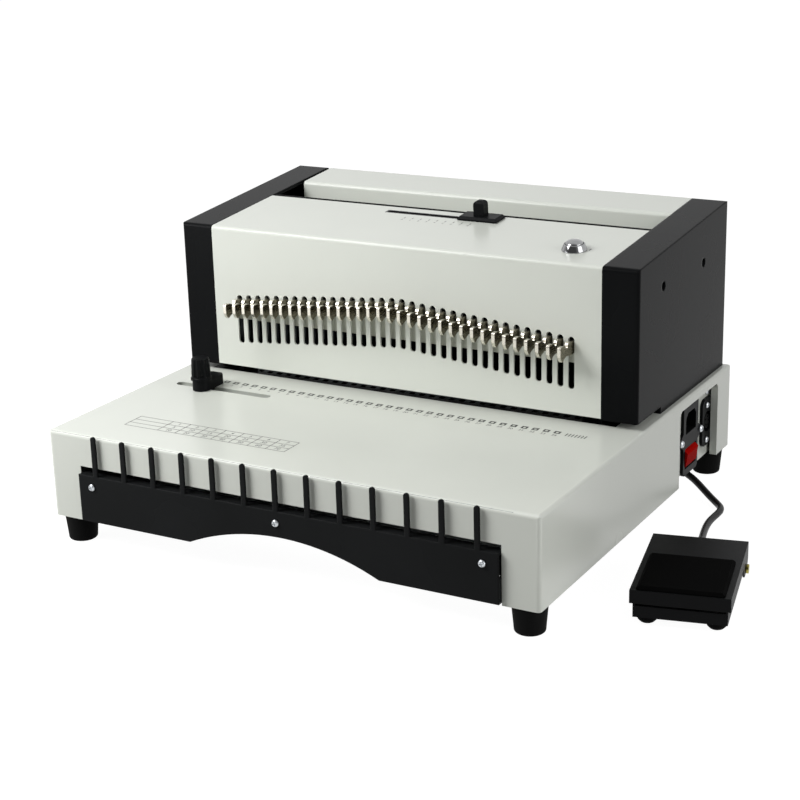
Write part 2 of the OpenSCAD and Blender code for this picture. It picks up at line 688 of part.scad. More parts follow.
module margin_slider() {
  x = slide_x0;
  k = margin_shift / margin_travel;
  color("#161718") mach() {
    on_top(x, slide_y) {
      // plate with bevelled edges
      intersection() {
        ex(-16.3, 16.3)
          polygon([[-6.3, 0.3], [10, 0.3], [10, 1.4], [8.4, 3.2], [-4.7, 3.2], [-6.3, 1.4]]);
        ey(-20, 20)
          polygon([[-16.3, 0.3], [16.3, 0.3], [16.3, 1.4], [14.7, 3.2], [-14.7, 3.2], [-16.3, 1.4]]);
      }
      // stem through the slot
      translate([-4, -1.4, -6.2]) cube([8, 2.8, 7]);
      // finger grip with a rounded top
      intersection() {
        ey(-2.2, 5.8) translate([0, 3]) top_rr(8.6, 12, 3.6);
        ex(-10, 10) translate([1.8, 3]) top_rr(8, 12, 2.8);
      }
    }
    // cam plate below the cover with its slanting slot
    difference() {
      bx(x - 10, x + 95, slide_y - 7, slide_y + 7, cam_z0, cam_z0 + 2.2);
      translate([x + 19, slide_y + 2.5, 0]) rotate([0, 0, -atan(k)])
        ez(cam_z0 - 3, cam_z0 + 5) pill(-4, margin_travel + 6, 0, 4.2);
    }
    bx(x - 3.4, x + 3.4, slide_y - 1.1, slide_y + 1.1, cam_z0 + 2, ztop(slide_y) - 4);
  }
}
module margin_stop() {
  px = slide_x0 + 21;
  pz = slide_y + 2.5 - 2 * margin_shift / margin_travel;
  color("#AEB3B7") mach() {
    // stop bar in the throat, arm, riser and cam pin
    bx(-stop_x, stop_x, hy + 20, hy + 24, zt + 0.3, zhb - 0.5);
    bx(px - 6, px + 6, hy + 23, pz + 2.5, zt + 1, zt + 3);
    bx(px - 6, px + 6, pz - 2.5, pz + 2.5, zt + 1, cam_z0 - 0.6);
    cz(cam_z0 - 0.8, cam_z0 + 4.2, px, pz, 1.9);
  }
}
module button_bezel() {
  color("#C9CCCF") mach() on_top(button_x, hy + 29) difference() {
    union() {
      rotate_extrude()
        polygon([[0, 0], [bezel_r, 0], [bezel_r, 0.7], [7.7, 4.5], [7.2, 4.9], [0, 4.9]]);
      translate([0, 0, -14]) cylinder(h = 14.1, r = 8);
      translate([0, 0, -sheet - 3]) cylinder(h = 3, r = 10.6);
    }
    translate([0, 0, -20]) cylinder(h = 30, r = 6.9);
  }
}
module punch_button() {
  half = [[0, -12], [6.6, -12], [6.6, 4.9], [6, 5.9], [4.6, 6.9], [2.4, 7.6], [0, 7.8]];
  color("#D5D8DB") mach() on_top(button_x, hy + 29) rotate_extrude() polygon(half);
}

// One pull tab, its neck centred on slot i: lobe with a beak in front, notch, then the shoulder in the slot
module tab(i) {
  l = tab_l;
  n = neck_h / 2;
  low = [[-l, -0.9], [-l + 1.2, -3.2], [-l + 2.9, -5.1], [-l + 3.7, -5.2], [-l + 6, -4], [-l + 10, -2.6],
    [-6, -n + 0.6], [-3.5, -n]];
  neck = [[16.6, -n], [16.6, n], [2.6, n], [2.6, 5.6]];
  top = [[-6.6, 6.5], [-7.8, 6], [-8.5, 4.8], [-8.9, 2.9], [-l + 8.6, 4.3], [-l + 6.6, 5.6]];
  front = [[-l + 4.6, 6], [-l + 1, 6.1], [-l + 0.2, 5.5], [-l, 4.4]];
  color("#B9B2A4") mach() translate([slot_x(i), hy, neck_z(i)]) ex(-tab_t / 2, tab_t / 2)
    polygon(concat(low, neck, top, front));
}
module pull_tabs_fixed_row() { for (i = [0:23]) tab(i); }
module pull_tab_25() { tab(24); }
module pull_tab_26() { tab(25); }
module pull_tab_27() { tab(26); }
module pull_tab_28() { tab(27); }
module pull_tab_29() { tab(28); }
module pull_tab_30() { tab(29); }
module pull_tab_31() { tab(30); }
module pull_tab_32() { tab(31); }
module pull_tab_33() { tab(32); }
module pull_tab_34() { tab(33); }

ph = ped_d / 2;
pw = ped_w / 2;
module pedal_base() {
  w = pw - 2;
  color("#1B1C1D") ped() difference() {
    union() {
      bx(-w, w, -ph + 2, ph - 2, 6.5, 8.3);
      // side, front and rear upstands
      bxs(w - 1.5, w, -ph + 2, ph - 2, 6.5, 17);
      bx(-w, w, -ph + 2, -ph + 3.5, 6.5, 14.5);
      bx(-w, w, ph - 3.5, ph - 2, 6.5, 17);
      // seat ring of the spring
      cz(8, 10, 0, -18, 4.2);
    }
    cx(-pw - 2, pw + 2, hinge_y, hinge_z, 2);
    cy(ph - 8, ph, 0, gland_z, 3.6);
  }
}
module tread_side() {
  polygon([[-ph, ped_h - 9.2], [-ph, ped_h], [ph, ped_h], [ph, ped_h - 12], [hinge_y + 6, hinge_z - 4],
    [hinge_y - 6, hinge_z - 4], [hinge_y - 14, ped_h - 9.2]]);
}
module pedal_tread() {
  color("#202122") ped() difference() {
    union() {
      difference() {
        ex(-pw, pw) tread_side();
        bx(-pw + 1.4, pw - 1.4, -ph + 1.4, ph + 5, -1, ped_h - 1.4);
      }
      // plunger over the switch
      bx(-3, 3, 8, 14, ped_h - 4.4, ped_h - 1);
    }
    cx(-pw - 2, pw + 2, hinge_y, hinge_z, 2 + run_fit);
  }
}
module pedal_pad() {
  t = 2.6;
  color("#101011") ped() translate([0, -18.5, ped_h]) difference() {
    ez(0, t) rr(57, 58, 2.5);
    for (s = [-1, 1]) {
      translate([s * 28.5, 0, t]) rotate([0, 45, 0]) cube([t, 80, t], center = true);
      translate([0, s * 29, t]) rotate([45, 0, 0]) cube([80, t, t], center = true);
    }
  }
}
module pedal_pin() {
  color("#C3A24B") ped() {
    cx(-pw - 0.6, pw + 0.6, hinge_y, hinge_z, 2);
    for (s = [0, 1]) mirror([s, 0, 0]) cx(pw + 0.3, pw + 2.1, hinge_y, hinge_z, 3.2);
  }
}
module pedal_spring() {
  top = ped_h - 1.6;
  coils = [for (k = [0:9]) [k % 2 == 0 ? 6.9 : 6, 9.4 + k * (top - 10.8) / 9]];
  color("#B5B9BC") ped() translate([0, -18, 0]) rotate_extrude() difference() {
    polygon(concat([[4.5, 8.4]], coils, [[6, top], [4.5, top]]));
    translate([0, 8]) square([4.9, top]);
  }
}
module pedal_switch() {
  color("#2A2B2D") ped() {
    bx(-10, 10, 4, 18, 8.3, 18);
    cz(17.8, 19.6, 0, 11, 1.8);
  }
}
module pedal_feet() {
  color("#131313") ped() for (x = [-22.4, 22.4], y = [-36, 36]) translate([x, y, 0])
    rotate_extrude()
      polygon([[0, 0], [4.5, 0], [6.4, 2], [7, 5], [7, 6.5], [0, 6.5]]);
}
module cord_gland() {
  color("#141414") mach() translate([gl_x, gl_y, gl_z]) rotate([0, 0, gl_turn]) {
    bx(-14, -3.9, -6, 6, -5.2, zb + 0.4 - gl_z);
    cx(-4, 0, 0, 0, 4.4);
  }
}
module pedal_gland() {
  color("#141414") ped() {
    cy(ph - 3.6, ph - 1.9, 0, gland_z, 3.6);
    cy(ph - 2, ph + 3, 0, gland_z, 4.6);
    cy(ph - 5.5, ph - 3.5, 0, gland_z, 4.2);
  }
}
// Cord swept along its route, rings of 10 sides, ends square to the two glands
function route(i) = cord_pts[i] + (1 - i / n_pts) * cord_d0 + (i / n_pts) * cord_d1;
function unit(v) = v / norm(v);
function way(i) = i == 0 ? [cos(gl_turn), sin(gl_turn), 0]
  : i == n_pts ? [sin(yw), -cos(yw), 0] : unit(route(i + 1) - route(i - 1));
function side_of(i) = unit(cross(way(i), [0, 0, 1]));
function up_of(i) = cross(side_of(i), way(i));
function ring_pt(i, k) = route(i) + cord_r * (cos(36 * k) * side_of(i) + sin(36 * k) * up_of(i));
function quad(a, b, k, m) = [a + k, a + m, b + m, b + k];
module cord() {
  rings = [for (i = [0:n_pts], k = [0:9]) ring_pt(i, k)];
  quads = [for (i = [0:n_pts - 1], k = [0:9]) quad(10 * i, 10 * i + 10, k, (k + 1) % 10)];
  tris = [for (q = quads, h = [0, 1]) h == 0 ? [q[0], q[1], q[2]] : [q[0], q[2], q[3]]];
  first = [for (k = [1:8]) [0, k + 1, k]];
  last = [for (k = [1:8]) [10 * n_pts, 10 * n_pts + k, 10 * n_pts + k + 1]];
  color("#151515") mach() polyhedron(points = rings, faces = concat(tris, first, last));
}

base_shell();
base_plate();
rack_rail();
wire_rack();
feet();
screws();
connector_panel();
power_inlet();
rocker_switch();
pedal_socket();
head_cover();
rear_cover();
trough_trim();
end_cap_left();
end_cap_right();
punch_frame();
guide_columns();
die_plate();
stripper_plate();
press_beam();
yokes();
punch_pins();
drive_shaft();
gear_motor();
control_board();
chip_drawer();
edge_guide();
edge_knob();
margin_slider();
margin_stop();
button_bezel();
punch_button();
pull_tabs_fixed_row();
pull_tab_25();
pull_tab_26();
pull_tab_27();
pull_tab_28();
pull_tab_29();
pull_tab_30();
pull_tab_31();
pull_tab_32();
pull_tab_33();
pull_tab_34();
pedal_base();
pedal_tread();
pedal_pad();
pedal_pin();
pedal_spring();
pedal_switch();
pedal_feet();
cord_gland();
pedal_gland();
cord();
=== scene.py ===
# %% [markdown]
# # A wire binding punch and its foot pedal
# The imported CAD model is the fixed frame: every solid already sits where it belongs. This lesson dresses
# it. It sets the camera, lays the cord, builds the light, gives every solid the finish of the real metal,
# plastic or rubber, winds the pedal's spring, softens the edges that a press, a mould or a coat of paint
# leaves soft, and prints the scales on the sheet metal.

import math

import bmesh
import bpy
from mathutils import Matrix, Vector


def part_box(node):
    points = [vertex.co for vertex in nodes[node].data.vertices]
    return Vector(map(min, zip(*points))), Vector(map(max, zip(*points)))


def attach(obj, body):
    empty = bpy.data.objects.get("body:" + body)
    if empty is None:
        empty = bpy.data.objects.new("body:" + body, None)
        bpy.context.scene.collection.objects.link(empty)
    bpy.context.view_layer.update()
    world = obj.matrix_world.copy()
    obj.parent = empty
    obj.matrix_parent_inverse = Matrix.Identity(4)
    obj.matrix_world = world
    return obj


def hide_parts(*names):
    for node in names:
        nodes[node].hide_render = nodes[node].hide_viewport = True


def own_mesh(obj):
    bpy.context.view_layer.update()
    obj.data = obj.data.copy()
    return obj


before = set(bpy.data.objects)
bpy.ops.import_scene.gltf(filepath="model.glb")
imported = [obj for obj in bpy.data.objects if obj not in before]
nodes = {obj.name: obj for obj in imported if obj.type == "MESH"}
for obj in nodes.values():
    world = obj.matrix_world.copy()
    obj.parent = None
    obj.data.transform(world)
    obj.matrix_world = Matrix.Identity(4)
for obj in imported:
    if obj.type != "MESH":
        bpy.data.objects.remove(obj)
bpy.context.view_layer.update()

# %% [markdown]
# ## Places
# The drawing of the machine measures from the middle of its front edge, in millimetres, while the frame's
# origin is the middle of machine and pedal. One function turns a drawing place into a frame place, so the
# numbers below read as they would on the drawing.

# %% Drawing places to frame places
ORIGIN_MM = Vector((52.349, 172.45, 0.0))


def at(x, y, z):
    return (Vector((x, y, z)) - ORIGIN_MM) / 1000


print("drawing origin sits at", tuple(round(c, 4) for c in at(0, 0, 0)))

# %% [markdown]
# ## Camera
# The machine is seen in a three-quarter view from the front right, from a little above its head. A long
# lens, more than a metre away, keeps the upright edges nearly parallel. The camera also leans by a degree
# and a half about its own axis, as on an uneven tripod. A track constraint would give no lean, so the
# camera's three directions are worked out from eye, aim and lean, and make up its rotation.

# %% Camera
EYE = Vector((0.58817, -1.12344, 0.51127))
AIM = Vector((-0.04301, -0.01822, 0.08972))
LEAN = -0.028
SENSOR_MM = 36
PICTURE_PIXELS = 800
FOCAL_PIXELS = 1819.8
forward = (AIM - EYE).normalized()
level = forward.cross(Vector((0, 0, 1))).normalized()
upright = level.cross(forward)
side = level * math.cos(LEAN) + upright * math.sin(LEAN)
top = upright * math.cos(LEAN) - level * math.sin(LEAN)

camera = bpy.data.objects.new("camera", bpy.data.cameras.new("camera"))
camera.data.sensor_width = SENSOR_MM
camera.data.sensor_fit = "HORIZONTAL"
camera.data.lens = SENSOR_MM * FOCAL_PIXELS / PICTURE_PIXELS
camera.data.clip_end = 50
axes = Matrix((side, top, -forward)).transposed().to_4x4()
camera.matrix_world = Matrix.Translation(EYE) @ axes
bpy.context.scene.collection.objects.link(camera)
bpy.context.scene.camera = camera
print("lens", round(camera.data.lens, 1), "mm, eye at", tuple(EYE))

# %% [markdown]
# ## The pedal's cord
# A thin round PVC cord, 5.2 mm thick, leaves a bush under the side of the base, drops to the table, lies
# on it in one loose bend and rises into the pedal's back. Its route has the same points as in the CAD
# file. A Bezier curve through them is smooth where the solid has straight facets, so the curve replaces
# the solid.

# %% Route of the cord
CORD_MM = [
    (177, 292, 14.6), (181.2, 289.4, 14.5), (186, 286.4, 13.7), (191.5, 283, 12.3), (197, 279.4, 10.3),
    (202.5, 275.8, 7.9), (208, 272.2, 5.5), (213, 268.6, 3.8), (217.5, 264.6, 2.9), (221, 260, 2.7),
    (222.9, 254.5, 2.7), (223.3, 248, 2.7), (223.1, 240, 2.7), (223.2, 231, 2.7), (224.4, 221, 2.7),
    (226.4, 211, 2.8), (228.9, 201, 3.2), (231.6, 191, 4.2), (234.3, 182, 5.9), (237.1, 173.5, 8.2),
    (240, 166, 10.5), (243.1, 158, 12.2), (246.2, 150.1, 12.6),
]
route = [at(*p) for p in CORD_MM]

# %% Curve of the cord
CORD_DIAMETER = 0.0052
line = bpy.data.curves.new("pedal_cord", "CURVE")
line.dimensions = "3D"
# A bevel depth of one metre makes the radius of each point its real one.
line.bevel_depth = 1.0
line.bevel_resolution = 5
line.resolution_u = 6
line.use_fill_caps = True
spline = line.splines.new("BEZIER")
spline.bezier_points.add(len(route) - 1)
for point, p in zip(spline.bezier_points, route):
    point.co = p
    point.radius = CORD_DIAMETER / 2
    point.handle_left_type = point.handle_right_type = "AUTO"
cord = bpy.data.objects.new("pedal_cord", line)
bpy.context.scene.collection.objects.link(cord)
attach(cord, "machine")
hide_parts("cord")
print("cord runs through", len(route), "points")

# %% [markdown]
# ## Small tools for finishes
# Colours are written as sRGB hex codes, as on a paint chart, and one function turns them to linear light.
# Two more set a node's inputs, as values or as links, and add a node with its settings. The last one
# starts a finish and hands over its shader and its object coordinates. These are in metres, so a pattern
# of so many millimetres has a scale of 1000 over its size. Sockets go by name or by number: a Mix of
# colours takes its share at input 0 and its colours at inputs 6 and 7, and gives the result at output 2.

# %% Colour and node tools
def linear(code):
    parts = [int(code[i : i + 2], 16) / 255 for i in (1, 3, 5)]
    return (*[c / 12.92 if c <= 0.04045 else ((c + 0.055) / 1.055) ** 2.4 for c in parts], 1.0)


def wire(node, inputs):
    for name, value in inputs.items():
        if isinstance(value, bpy.types.NodeSocket):
            node.id_data.links.new(value, node.inputs[name])
        else:
            node.inputs[name].default_value = value


def add(tree, kind, inputs=None, **settings):
    node = tree.nodes.new("ShaderNode" + kind)
    for name, value in settings.items():
        setattr(node, name, value)
    wire(node, inputs or {})
    return node


def new_finish(name):
    material = bpy.data.materials.new(name)
    material.use_nodes = True
    tree = material.node_tree
    place = add(tree, "TexCoord").outputs["Object"]
    return material, tree, tree.nodes["Principled BSDF"], place


print("white is", linear("#FFFFFF"))

# %% [markdown]
# ## Studio
# The machine stands in a product studio with white card all round, and the card is the world. What lights
# the machine is a grey level that is higher at the back and at the left, as from a window there. What is
# seen or mirrored is white, and darker towards the camera's side, where a studio has no card. The light
# path tells these rays apart, so the backdrop is white without more light on the machine.

# %% World of white card
world = bpy.data.worlds.new("studio")
bpy.context.scene.world = world
world.use_nodes = True
sky = world.node_tree
sky.nodes.clear()
ray = add(sky, "LightPath")
direction = add(sky, "SeparateXYZ", {0: add(sky, "TexCoord").outputs["Generated"]})
CARD_LEVELS = {"From Min": -0.75, "From Max": 0.1, "To Min": 0.12, "To Max": 0.97}
card = add(sky, "MapRange", {0: direction.outputs["Y"], **CARD_LEVELS})
seen = add(sky, "Math", {0: card.outputs[0], 1: ray.outputs["Is Camera Ray"]}, operation="MAXIMUM")
mirrors = {0: ray.outputs["Is Glossy Ray"], 1: ray.outputs["Is Transmission Ray"]}
mirrored = add(sky, "Math", mirrors, operation="MAXIMUM")
shown = add(sky, "Math", {0: mirrored.outputs[0], 1: ray.outputs["Is Camera Ray"]}, operation="MAXIMUM")
back = add(sky, "MapRange", {0: direction.outputs["Y"], "From Min": -1.0, "To Min": 0.23, "To Max": 0.41})
left = add(sky, "MapRange", {0: direction.outputs["X"], "From Min": -1.0, "To Min": 1.25, "To Max": 0.75})
level_of_light = add(sky, "Math", {0: back.outputs[0], 1: left.outputs[0]}, operation="MULTIPLY")
ambient = add(sky, "Background", {"Color": (0.98, 0.99, 1.0, 1.0), "Strength": level_of_light.outputs[0]})
backdrop = add(sky, "Background", {"Color": (1, 1, 1, 1), "Strength": seen.outputs[0]})
mix = add(sky, "MixShader", {0: shown.outputs[0], 1: ambient.outputs[0], 2: backdrop.outputs[0]})
add(sky, "OutputWorld", {"Surface": mix.outputs[0]})
print("world nodes:", len(sky.nodes))

# %% [markdown]
# ### Lamps
# A soft box high at the front left is the main light, and a weaker one stands at the right. Two small lit
# cards stand low at the front corners, and the right one has a grid that keeps its beam narrow. All four
# are square area lamps, whose shadows have the soft edge of a real soft box, where a point lamp's would
# be hard.

# %% Lamps
MIDDLE = (-0.02, 0.0, 0.10)
FRONT_CORNER = (0.14, -0.19, 0.05)
LAMPS = {
    "key_box": {"place": (-0.68, -0.66, 0.90), "size": 0.60, "power": 12.5},
    "left_card": {"place": (-0.55, -0.45, 0.20), "size": 0.30, "power": 0.70},
    "right_box": {"place": (1.15, -0.15, 0.55), "size": 0.80, "power": 5.2},
    "right_card": {"place": (0.42, -0.20, 0.06), "size": 0.10, "power": 0.014},
}
LAMPS["right_card"].update(aim=FRONT_CORNER, spread=52)
for name, lamp in LAMPS.items():
    light = bpy.data.lights.new(name, "AREA")
    light.shape = "SQUARE"
    light.size = lamp["size"]
    light.energy = lamp["power"]
    light.spread = math.radians(lamp.get("spread", 180))
    lamp_object = bpy.data.objects.new(name, light)
    lamp_object.location = lamp["place"]
    away = Vector(lamp["place"]) - Vector(lamp.get("aim", MIDDLE))
    lamp_object.rotation_euler = away.to_track_quat("Z", "Y").to_euler()
    bpy.context.scene.collection.objects.link(lamp_object)
print("lamps:", ", ".join(LAMPS))

# %% [markdown]
# ### Floor
# The floor is matt white paper. Seen by the camera or in a mirror, most of its light is its own, so it
# stays white under the machine's edges and still keeps a soft shadow round the feet. What it throws back
# onto the machine is less, as from a grey table, so that the low upright faces stay darker than the table
# top.

# %% White paper
OWN_LIGHT = 0.80
paper, tree, shader, place = new_finish("white_paper")
ray = add(tree, "LightPath")
views = {0: ray.outputs["Is Camera Ray"], 1: ray.outputs["Is Glossy Ray"]}
watched = add(tree, "Math", views, operation="MAXIMUM")
greys = {0: watched.outputs[0], 6: linear("#6A6A68"), 7: linear("#F4F4F2")}
tone = add(tree, "Mix", greys, data_type="RGBA")
wire(shader, {"Base Color": tone.outputs[2], "Roughness": 0.9})
share = add(tree, "Math", {0: watched.outputs[0], 1: OWN_LIGHT}, operation="MULTIPLY")
glow = add(tree, "Emission", {"Color": (1, 1, 1, 1), "Strength": 1.2})
mix = add(tree, "MixShader", {0: share.outputs[0], 1: shader.outputs[0], 2: glow.outputs[0]})
wire(tree.nodes["Material Output"], {"Surface": mix.outputs[0]})
print("made", paper.name)

# %% Sheet on the floor
FLOOR_HALF = 4.0
FLOOR_Z = -0.0003
sheet = bmesh.new()
bmesh.ops.create_grid(sheet, x_segments=1, y_segments=1, size=FLOOR_HALF)
floor_mesh = bpy.data.meshes.new("floor")
sheet.to_mesh(floor_mesh)
sheet.free()
floor = bpy.data.objects.new("floor", floor_mesh)
floor.location.z = FLOOR_Z
floor.data.materials.append(paper)
bpy.context.scene.collection.objects.link(floor)
bpy.context.scene.view_settings.view_transform = "Standard"
print("floor is", tuple(round(d, 2) for d in floor.dimensions))

# %% [markdown]
# ## Powder coat on the pale sheet metal
# Base, covers and side panel are folded steel with a baked powder coat in a warm pale grey, semi-gloss.
# The powder melts into a skin with shallow dimples, the orange peel, so a mirrored edge is clear but a
# little broken. A spray is never quite even either, so colour and gloss drift over a hand's width. A
# noise of 1.8 mm, as on the real skin, makes the dimples and one of 110 mm the drift. An image could do
# both, but noise in object coordinates needs no unwrapping. Most finishes below follow this recipe.

# %% Pale powder coat
pale_coat, tree, shader, place = new_finish("powder_coat_pale_grey")
drift = add(tree, "TexNoise", {"Vector": place, "Scale": 1000 / 110, "Detail": 3.0})
tint = add(tree, "Mix", {0: drift.outputs[0], 6: linear("#D3D6CE"), 7: linear("#DBDED6")}, data_type="RGBA")
gloss = add(tree, "MapRange", {0: drift.outputs[0], "To Min": 0.20, "To Max": 0.30})
peel = add(tree, "TexNoise", {"Vector": place, "Scale": 1000 / 1.8, "Detail": 1.0})
skin = add(tree, "Bump", {"Strength": 0.30, "Distance": 0.00002, "Height": peel.outputs[0]})
wire(shader, {"Roughness": gloss.outputs[0], "Normal": skin.outputs[0], "Specular IOR Level": 0.36})
coat = tint.outputs[2]
print("made", pale_coat.name)

# %% [markdown]
# ### Painted shade in the pale coat
# Four places carry painted shade instead of the pale coat, as each lies in shadow: the bay behind the
# rack, the groove of the side stop, the slider's slot and the throat under the head. Each is a box, given
# by its middle and its half size in millimetres. A Mapping node of the texture kind brings the box to the
# range from -1 to 1, and what lies within takes its dark colour. So the solids keep a single slot each.

# %% Boxes of painted shade
# Each colour below is painted shade, not a paint or primer of its own.
PAINTED_SHADE_MM = {
    "rack_bay": {"middle": (-9.0, 60.4, 42.0), "half": (185.2, 59.6, 43.2), "colour": "#1C1D1D"},
    "guide_groove": {"middle": (-131.5, 129.5, 84.3), "half": (44.0, 4.6, 1.3), "colour": "#A6A9A2"},
    "slider_slot": {"middle": (-4.6, 245.0, 208.0), "half": (45.0, 3.3, 6.0), "colour": "#101111"},
    "throat": {"middle": (0.0, 189.0, 86.0), "half": (172.0, 14.4, 4.0), "colour": "#0C0D0D"},
}
for area in PAINTED_SHADE_MM.values():
    frame_of_box = {"Location": at(*area["middle"]), "Scale": Vector(area["half"]) / 1000}
    box = add(tree, "Mapping", {"Vector": place, **frame_of_box}, vector_type="TEXTURE")
    apart = add(tree, "VectorMath", {0: box.outputs[0]}, operation="ABSOLUTE")
    sides = add(tree, "SeparateXYZ", {0: apart.outputs[0]})
    wide = add(tree, "Math", {0: sides.outputs[0], 1: sides.outputs[1]}, operation="MAXIMUM")
    reach = add(tree, "Math", {0: wide.outputs[0], 1: sides.outputs[2]}, operation="MAXIMUM")
    within = add(tree, "Math", {0: reach.outputs[0], 1: 1.0}, operation="LESS_THAN")
    colours = {0: within.outputs[0], 6: coat, 7: linear(area["colour"])}
    coat = add(tree, "Mix", colours, data_type="RGBA").outputs[2]
wire(shader, {"Base Color": coat})
print("darker places:", ", ".join(PAINTED_SHADE_MM))

# %% [markdown]
# ## Satin powder coat on the black parts
# End caps and rack have a satin black coat with a fine grain. It mirrors only what is bright, so a face
# turned to the white card looks dark grey and one turned to the dark side stays black. The rack's coat is
# worn greyer by the wires. The real grain is too fine to show, so it is drawn 1.1 mm wide. A Bevel node
# rounds the shading of each edge further, as thick paint does. The shine lies far below a coat's usual
# level of 0.5, matched to blacks that stay deep in bright light.

# %% Satin black coats
SATIN_BLACKS = {
    "powder_coat_satin_black": {"deep": "#0C0D0E", "grey": "#131415"},
    "powder_coat_worn_black": {"deep": "#181919", "grey": "#212223"},
}
satin_blacks = {}
for name, look in SATIN_BLACKS.items():
    satin_blacks[name], tree, shader, place = new_finish(name)
    drift = add(tree, "TexNoise", {"Vector": place, "Scale": 1000 / 60, "Detail": 3.0})
    colours = {0: drift.outputs[0], 6: linear(look["deep"]), 7: linear(look["grey"])}
    tint = add(tree, "Mix", colours, data_type="RGBA")
    gloss = add(tree, "MapRange", {0: drift.outputs[0], "To Min": 0.24, "To Max": 0.30})
    grain = add(tree, "TexNoise", {"Vector": place, "Scale": 1000 / 1.1, "Detail": 2.0})
    edge = add(tree, "Bevel", {"Radius": 0.0018}, samples=6)
    dents = {"Strength": 0.1, "Distance": 0.00003, "Height": grain.outputs[0], "Normal": edge.outputs[0]}
    skin = add(tree, "Bump", dents)
    wire(shader, {"Base Color": tint.outputs[2], "Roughness": gloss.outputs[0], "Normal": skin.outputs[0]})
    wire(shader, {"Specular IOR Level": 0.032})
print("made", ", ".join(satin_blacks))

# %% [markdown]
# ## Wrinkle coat on the pedal
# Tray and tread have a wrinkle coat, which shrinks as it bakes and hides scuffs. The eye sees a deep matt
# black with small broken glints. A noise with distortion bends into such folds. They are 1.6 mm wide, the
# coarse end of real ones, since finer ones would not show.

# %% Wrinkle coat
wrinkle_coat, tree, shader, place = new_finish("powder_coat_wrinkle_black")
drift = add(tree, "TexNoise", {"Vector": place, "Scale": 1000 / 30, "Detail": 4.0})
tint = add(tree, "Mix", {0: drift.outputs[0], 6: linear("#0A0A0B"), 7: linear("#111213")}, data_type="RGBA")
gloss = add(tree, "MapRange", {0: drift.outputs[0], "To Min": 0.36, "To Max": 0.50})
wrinkle = add(tree, "TexNoise", {"Vector": place, "Scale": 1000 / 1.6, "Detail": 3.0, "Distortion": 1.2})
skin = add(tree, "Bump", {"Strength": 0.6, "Distance": 0.00008, "Height": wrinkle.outputs[0]})
wire(shader, {"Base Color": tint.outputs[2], "Roughness": gloss.outputs[0], "Normal": skin.outputs[0]})
wire(shader, {"Specular IOR Level": 0.065})
print("made", wrinkle_coat.name)

# %% [markdown]
# ## Black ABS
# Inlet, socket, slider, side stop and knob are moulded from black ABS. Spark-eroded moulds leave a fine
# even grain, which spreads the plastic's shine into a soft sheen. The cells of a Voronoi pattern come
# close to it. The real grain is about a tenth of a millimetre wide and would not show, so it is drawn at
# 0.9 mm.

# %% ABS, moulded black
black_abs, tree, shader, place = new_finish("abs_moulded_black")
drift = add(tree, "TexNoise", {"Vector": place, "Scale": 1000 / 18, "Detail": 3.0})
tint = add(tree, "Mix", {0: drift.outputs[0], 6: linear("#0E0F10"), 7: linear("#151617")}, data_type="RGBA")
gloss = add(tree, "MapRange", {0: drift.outputs[0], "To Min": 0.30, "To Max": 0.42})
grain = add(tree, "TexVoronoi", {"Vector": place, "Scale": 1000 / 0.9})
skin = add(tree, "Bump", {"Strength": 0.25, "Distance": 0.00003, "Height": grain.outputs[0]})
wire(shader, {"Base Color": tint.outputs[2], "Roughness": gloss.outputs[0], "Normal": skin.outputs[0]})
wire(shader, {"Specular IOR Level": 0.045})
print("made", black_abs.name)

# %% [markdown]
# ## Red ABS
# The rocker comes from a polished mould, so its red is deep and even, with only a faint drift of the
# pigment and the slow waves of plastic that flowed into the mould. Its shine is set very low, matched to
# the real one, which shows hardly any from this side.

# %% ABS, polished red
red_abs, tree, shader, place = new_finish("abs_polished_red")
drift = add(tree, "TexNoise", {"Vector": place, "Scale": 1000 / 9, "Detail": 2.0})
tint = add(tree, "Mix", {0: drift.outputs[0], 6: linear("#9C0A06"), 7: linear("#B80F0A")}, data_type="RGBA")
gloss = add(tree, "MapRange", {0: drift.outputs[0], "To Min": 0.12, "To Max": 0.20})
flow = add(tree, "TexNoise", {"Vector": place, "Scale": 1000 / 4, "Detail": 1.0})
skin = add(tree, "Bump", {"Strength": 0.1, "Distance": 0.00003, "Height": flow.outputs[0]})
wire(shader, {"Base Color": tint.outputs[2], "Roughness": gloss.outputs[0], "Normal": skin.outputs[0]})
wire(shader, {"Specular IOR Level": 0.001})
print("made", red_abs.name)

# %% [markdown]
# ## Rubber
# Feet, bushes and the edging behind the head are matt rubber with a bloom, a paler dust that works its
# way out in patches of about 14 mm. The pedal's pad is a softer, blacker rubber of the same kind, so one
# loop makes both. The moulded grain is finer than the view can show and is drawn at 0.8 mm.

# %% Rubbers
# The edging behind the head is the black strip that gives the dark line along the head cover's rear edge.
RUBBERS = {
    "rubber_moulded_black": {"deep": "#121212", "dusty": "#1A1A1A", "shine": 0.03},
    "rubber_pad_black": {"deep": "#050505", "dusty": "#090909", "shine": 0.008},
}
rubbers = {}
for name, look in RUBBERS.items():
    rubbers[name], tree, shader, place = new_finish(name)
    bloom = add(tree, "TexNoise", {"Vector": place, "Scale": 1000 / 14, "Detail": 5.0})
    colours = {0: bloom.outputs[0], 6: linear(look["deep"]), 7: linear(look["dusty"])}
    tint = add(tree, "Mix", colours, data_type="RGBA")
    gloss = add(tree, "MapRange", {0: bloom.outputs[0], "To Min": 0.58, "To Max": 0.78})
    grain = add(tree, "TexNoise", {"Vector": place, "Scale": 1000 / 0.8, "Detail": 2.0})
    skin = add(tree, "Bump", {"Strength": 0.4, "Distance": 0.00005, "Height": grain.outputs[0]})
    wire(shader, {"Base Color": tint.outputs[2], "Roughness": gloss.outputs[0], "Normal": skin.outputs[0]})
    wire(shader, {"Specular IOR Level": look["shine"]})
print("made", ", ".join(rubbers))

# %% [markdown]
# ## PVC on the cord
# The cord's jacket is PVC that was pressed through a ring. It is smoother than rubber and keeps a soft
# shine along its top, with the slight waviness of an extruded skin, here 2.5 mm wide.

